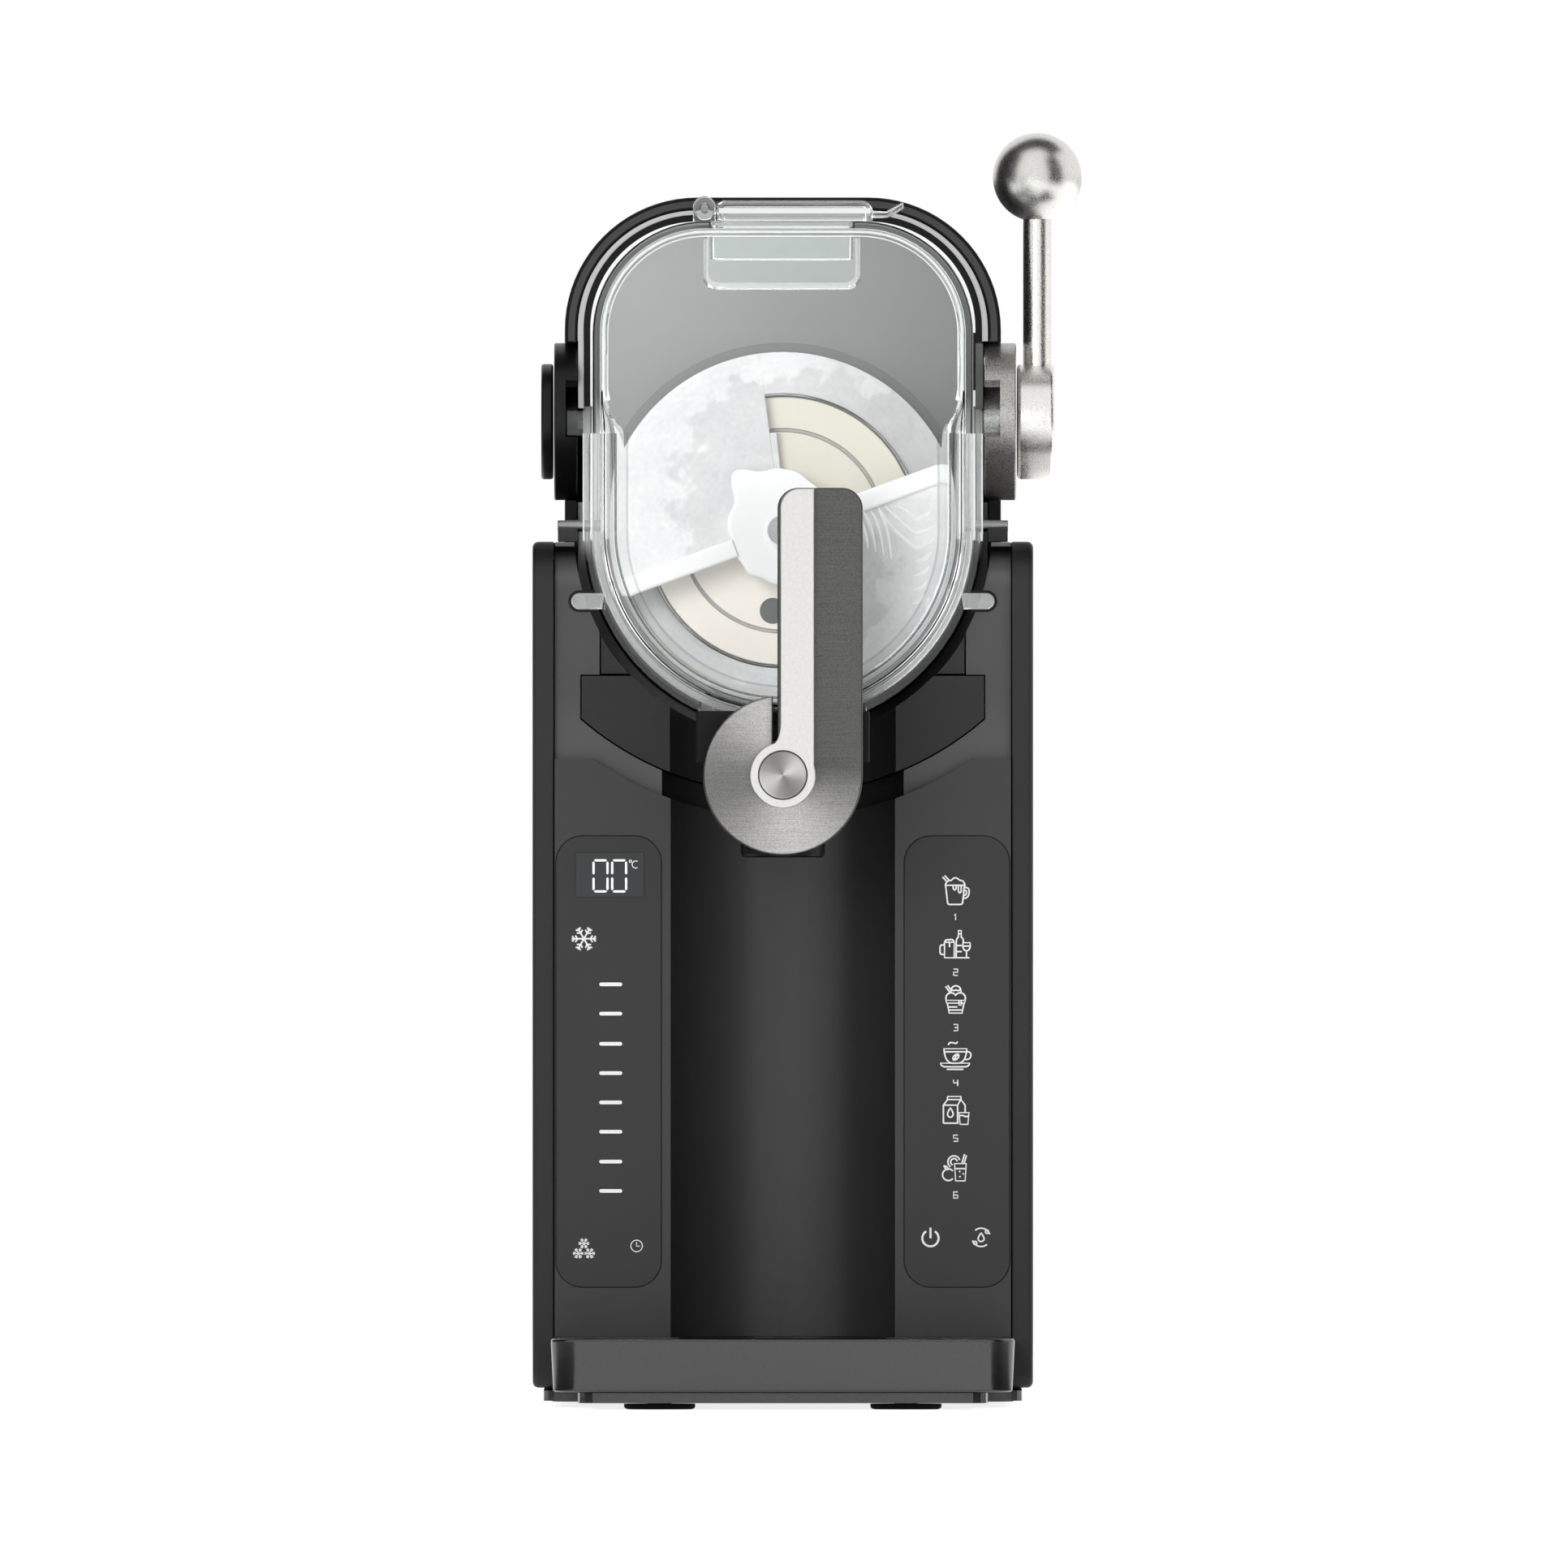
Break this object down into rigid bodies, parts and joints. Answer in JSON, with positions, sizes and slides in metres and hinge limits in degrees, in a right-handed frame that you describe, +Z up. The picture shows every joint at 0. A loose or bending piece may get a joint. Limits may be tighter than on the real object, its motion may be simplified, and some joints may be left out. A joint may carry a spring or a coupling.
{
  "type": "slushie machine",
  "caption": "Countertop frozen drink machine: clear lift-off vessel with auger over a cooling drum, front tap with upright handle, touch panels beside a cup niche and a pull-out drip tray.",
  "frame": {"origin": "middle of the footprint's bounding box on the floor, under the feet; the body's middle plane lies 8.5 mm left of it because the lock lever stands out on the right", "axes": "+Z up, -Y towards the front with the tap and drip tray, +X to the right as seen from the front"},
  "size_m": [0.1862, 0.375, 0.432],
  "materials": {
    "fascia_plastic": "fine satin texture",
    "side_plastic": "fine satin texture",
    "upper_plastic": "fine satin texture",
    "tray_plastic": "satin",
    "black_plastic": "satin",
    "grey_plastic": "satin",
    "panel_gloss": "smooth touch panel with pale symbols",
    "display_gloss": "dark display window with white digits",
    "clear_plastic": "clear",
    "white_plastic": "satin",
    "cream_plastic": "satin",
    "brushed_steel": "brushed",
    "pale_metal": "satin",
    "polished_steel": "bright",
    "plain_steel": "plain",
    "black_rubber": "matt",
    "grey_rubber": "matt",
    "black_paint": "satin",
    "aluminium": "plain",
    "copper": "plain copper tube",
    "circuit_board": "plain"
  },
  "bodies": {
    "body": {"base_plate": "black_plastic", "foot_front_left": "black_rubber", "foot_front_right": "black_rubber", "foot_rear_left": "black_rubber", "foot_rear_right": "black_rubber", "left_side_panel": "side_plastic", "right_side_panel": "side_plastic", "rear_panel": "side_plastic", "power_inlet": "black_plastic", "front_fascia": "fascia_plastic", "left_control_panel": "panel_gloss", "right_control_panel": "panel_gloss", "display_window": "display_gloss", "left_touch_board": "circuit_board", "right_touch_board": "circuit_board", "power_board": "circuit_board", "upper_front_panel": "upper_plastic", "vessel_trough": "black_plastic", "tower_shell": "black_plastic", "tower_front_plate": "grey_plastic", "left_pocket_cup": "black_plastic", "right_pocket_cup": "black_plastic", "evaporator_drum": "plain_steel", "evaporator_cap": "cream_plastic", "shaft_bush": "white_plastic", "bearing_plate": "plain_steel", "motor_body": "black_paint", "compressor": "black_paint", "condenser": "aluminium", "fan_shroud": "black_plastic", "fan_motor": "black_plastic", "suction_pipe": "copper", "discharge_pipe": "copper"},
    "vessel": {"vessel": "clear_plastic", "vessel_seal": "grey_rubber", "lid_hinge_pin": "plain_steel", "spigot_body": "black_plastic"},
    "lid": {"fill_lid": "clear_plastic"},
    "handle": {"tap_handle": "brushed_steel", "handle_strip": "pale_metal", "handle_cap": "brushed_steel", "valve_plug": "white_plastic", "plug_seal": "black_rubber"},
    "lever": {"left_lock_disc": "black_plastic", "right_lock_disc": "polished_steel", "cross_shaft": "plain_steel", "left_hub_cap": "black_plastic", "lever_hub": "polished_steel", "lever_stem": "polished_steel", "lever_ball": "polished_steel"},
    "auger": {"auger": "white_plastic", "auger_nut": "black_plastic", "drive_shaft": "plain_steel", "drive_gear": "white_plastic"},
    "rotor": {"motor_pinion": "plain_steel"},
    "fan": {"fan_blade": "grey_plastic"},
    "tray": {"drip_tray": "tray_plastic"},
    "grid": {"drip_grid": "black_plastic"},
    "catch": {"condensation_catch": "fascia_plastic"}
  },
  "joints": [
    {"name": "vessel_slide", "type": "slide", "parent": "body", "child": "vessel", "axis": [0, -1, 0], "range_m": [0, 0.22]},
    {"name": "lid_hinge", "type": "hinge", "parent": "vessel", "child": "lid", "pos_m": [-0.035, -0.074, 0.4054], "axis": [0, -1, 0], "range_deg": [0, 105]},
    {"name": "tap_turn", "type": "hinge", "parent": "vessel", "child": "handle", "pos_m": [-0.0085, -0.1655, 0.2137], "axis": [0, 1, 0], "range_deg": [0, 90]},
    {"name": "lock_turn", "type": "hinge", "parent": "body", "child": "lever", "pos_m": [-0.0085, 0.058, 0.3339], "axis": [1, 0, 0], "range_deg": [0, 70]},
    {"name": "auger_spin", "type": "hinge", "parent": "body", "child": "auger", "pos_m": [-0.0085, 0.108, 0.2962], "axis": [0, 1, 0], "continuous": true},
    {"name": "motor_spin", "type": "hinge", "parent": "body", "child": "rotor", "pos_m": [-0.0085, 0.108, 0.3382], "axis": [0, 1, 0], "continuous": true},
    {"name": "fan_spin", "type": "hinge", "parent": "body", "child": "fan", "pos_m": [-0.0085, 0.061, 0.066], "axis": [0, 1, 0], "continuous": true},
    {"name": "tray_slide", "type": "slide", "parent": "body", "child": "tray", "axis": [0, -1, 0], "range_m": [0, 0.12]},
    {"name": "grid_lift", "type": "slide", "parent": "tray", "child": "grid", "axis": [0, 0, 1], "range_m": [0, 0.03]},
    {"name": "catch_slide", "type": "slide", "parent": "body", "child": "catch", "axis": [0, -1, 0], "range_m": [0, 0.042]}
  ],
  "couplings": [
    {"joint": "motor_spin", "follows": "auger_spin", "ratio": -3}
  ]
}
